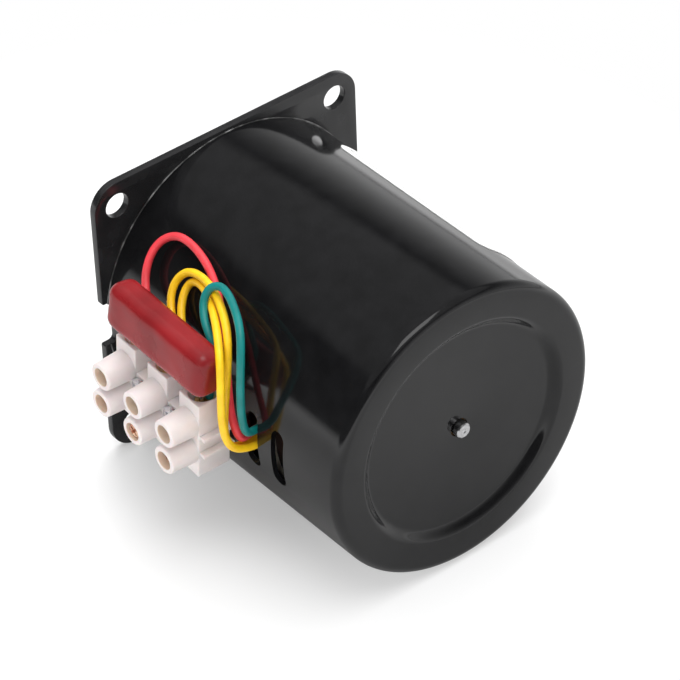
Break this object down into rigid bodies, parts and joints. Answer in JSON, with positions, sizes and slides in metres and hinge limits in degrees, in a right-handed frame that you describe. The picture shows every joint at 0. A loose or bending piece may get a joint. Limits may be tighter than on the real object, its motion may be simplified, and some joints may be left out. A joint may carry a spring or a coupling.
{
  "type": "synchronous gear motor",
  "caption": "Drawn-can synchronous gear motor with a square flange, offset D shaft, screw terminal strip, run capacitor and coloured leads.",
  "frame": {"origin": "middle of the flange's mounting face, on the can's axis", "axes": "+Y out of the mounting face along the output shaft, +Z towards the output shaft's side, terminal strip on -X"},
  "size_m": [0.0722, 0.0854, 0.06],
  "materials": {
    "black_paint": "gloss",
    "zinc": "satin",
    "steel": "satin",
    "brass": "satin",
    "bronze": "satin",
    "copper": "gloss",
    "nylon": "matte",
    "strip_plastic": "satin",
    "ferrite": "matte",
    "capacitor_coat": "gloss",
    "red_cover": "gloss",
    "yellow_cover": "gloss",
    "green_cover": "gloss",
    "paper": "matte"
  },
  "bodies": {
    "motor": {"can": "black_paint", "flange_plate": "black_paint", "gear_plate": "zinc", "plate_posts": "steel", "first_arbor": "steel", "second_arbor": "steel", "output_bush": "bronze", "output_rear_bush": "bronze", "output_washer": "steel", "rotor_front_bush": "bronze", "rotor_rear_bush": "bronze", "bearing_plate": "zinc", "front_bobbin": "nylon", "rear_bobbin": "nylon", "front_coil": "copper", "rear_coil": "copper", "claw_plate_1": "zinc", "claw_plate_2": "zinc", "claw_plate_3": "zinc", "claw_plate_4": "zinc", "terminal_strip": "strip_plastic", "strip_inserts": "brass", "strip_screws": "steel", "lead_clamp_screws": "steel", "capacitor": "capacitor_coat", "capacitor_leads": "steel", "red_lead": "red_cover", "front_yellow_lead": "yellow_cover", "rear_yellow_lead": "yellow_cover", "green_lead": "green_cover", "label": "paper"},
    "rotor": {"rotor_shaft": "steel", "rotor_pinion": "brass", "rotor_hub": "nylon", "rotor_magnet": "ferrite", "rotor_spacers": "steel"},
    "first_cluster": {"first_cluster": "nylon"},
    "second_cluster": {"second_cluster": "nylon"},
    "output": {"output_gear": "steel", "output_shaft": "steel", "retaining_ring": "steel"},
    "supply_screw_1": {"supply_screw_1": "copper"},
    "supply_screw_2": {"supply_screw_2": "copper"},
    "supply_screw_3": {"supply_screw_3": "copper"}
  },
  "joints": [
    {"name": "rotor_spin", "type": "hinge", "parent": "motor", "child": "rotor", "pos_m": [0, 0, 0], "axis": [0, 1, 0], "continuous": true},
    {"name": "first_cluster_spin", "type": "hinge", "parent": "motor", "child": "first_cluster", "pos_m": [0.0141, 0, -0.00513], "axis": [0, 1, 0], "continuous": true},
    {"name": "second_cluster_spin", "type": "hinge", "parent": "motor", "child": "second_cluster", "pos_m": [-0.00016, 0, -0.0098], "axis": [0, 1, 0], "continuous": true},
    {"name": "output_spin", "type": "hinge", "parent": "motor", "child": "output", "pos_m": [0, 0, 0.01], "axis": [0, 1, 0], "continuous": true},
    {"name": "supply_screw_1_slide", "type": "slide", "parent": "motor", "child": "supply_screw_1", "axis": [1, 0, 0], "range_m": [0, 0.002]},
    {"name": "supply_screw_2_slide", "type": "slide", "parent": "motor", "child": "supply_screw_2", "axis": [1, 0, 0], "range_m": [0, 0.0028]},
    {"name": "supply_screw_3_slide", "type": "slide", "parent": "motor", "child": "supply_screw_3", "axis": [1, 0, 0], "range_m": [0, 0.002]}
  ],
  "couplings": [
    {"joint": "first_cluster_spin", "follows": "rotor_spin", "ratio": -0.25},
    {"joint": "second_cluster_spin", "follows": "rotor_spin", "ratio": 0.0625},
    {"joint": "output_spin", "follows": "rotor_spin", "ratio": -0.02}
  ]
}
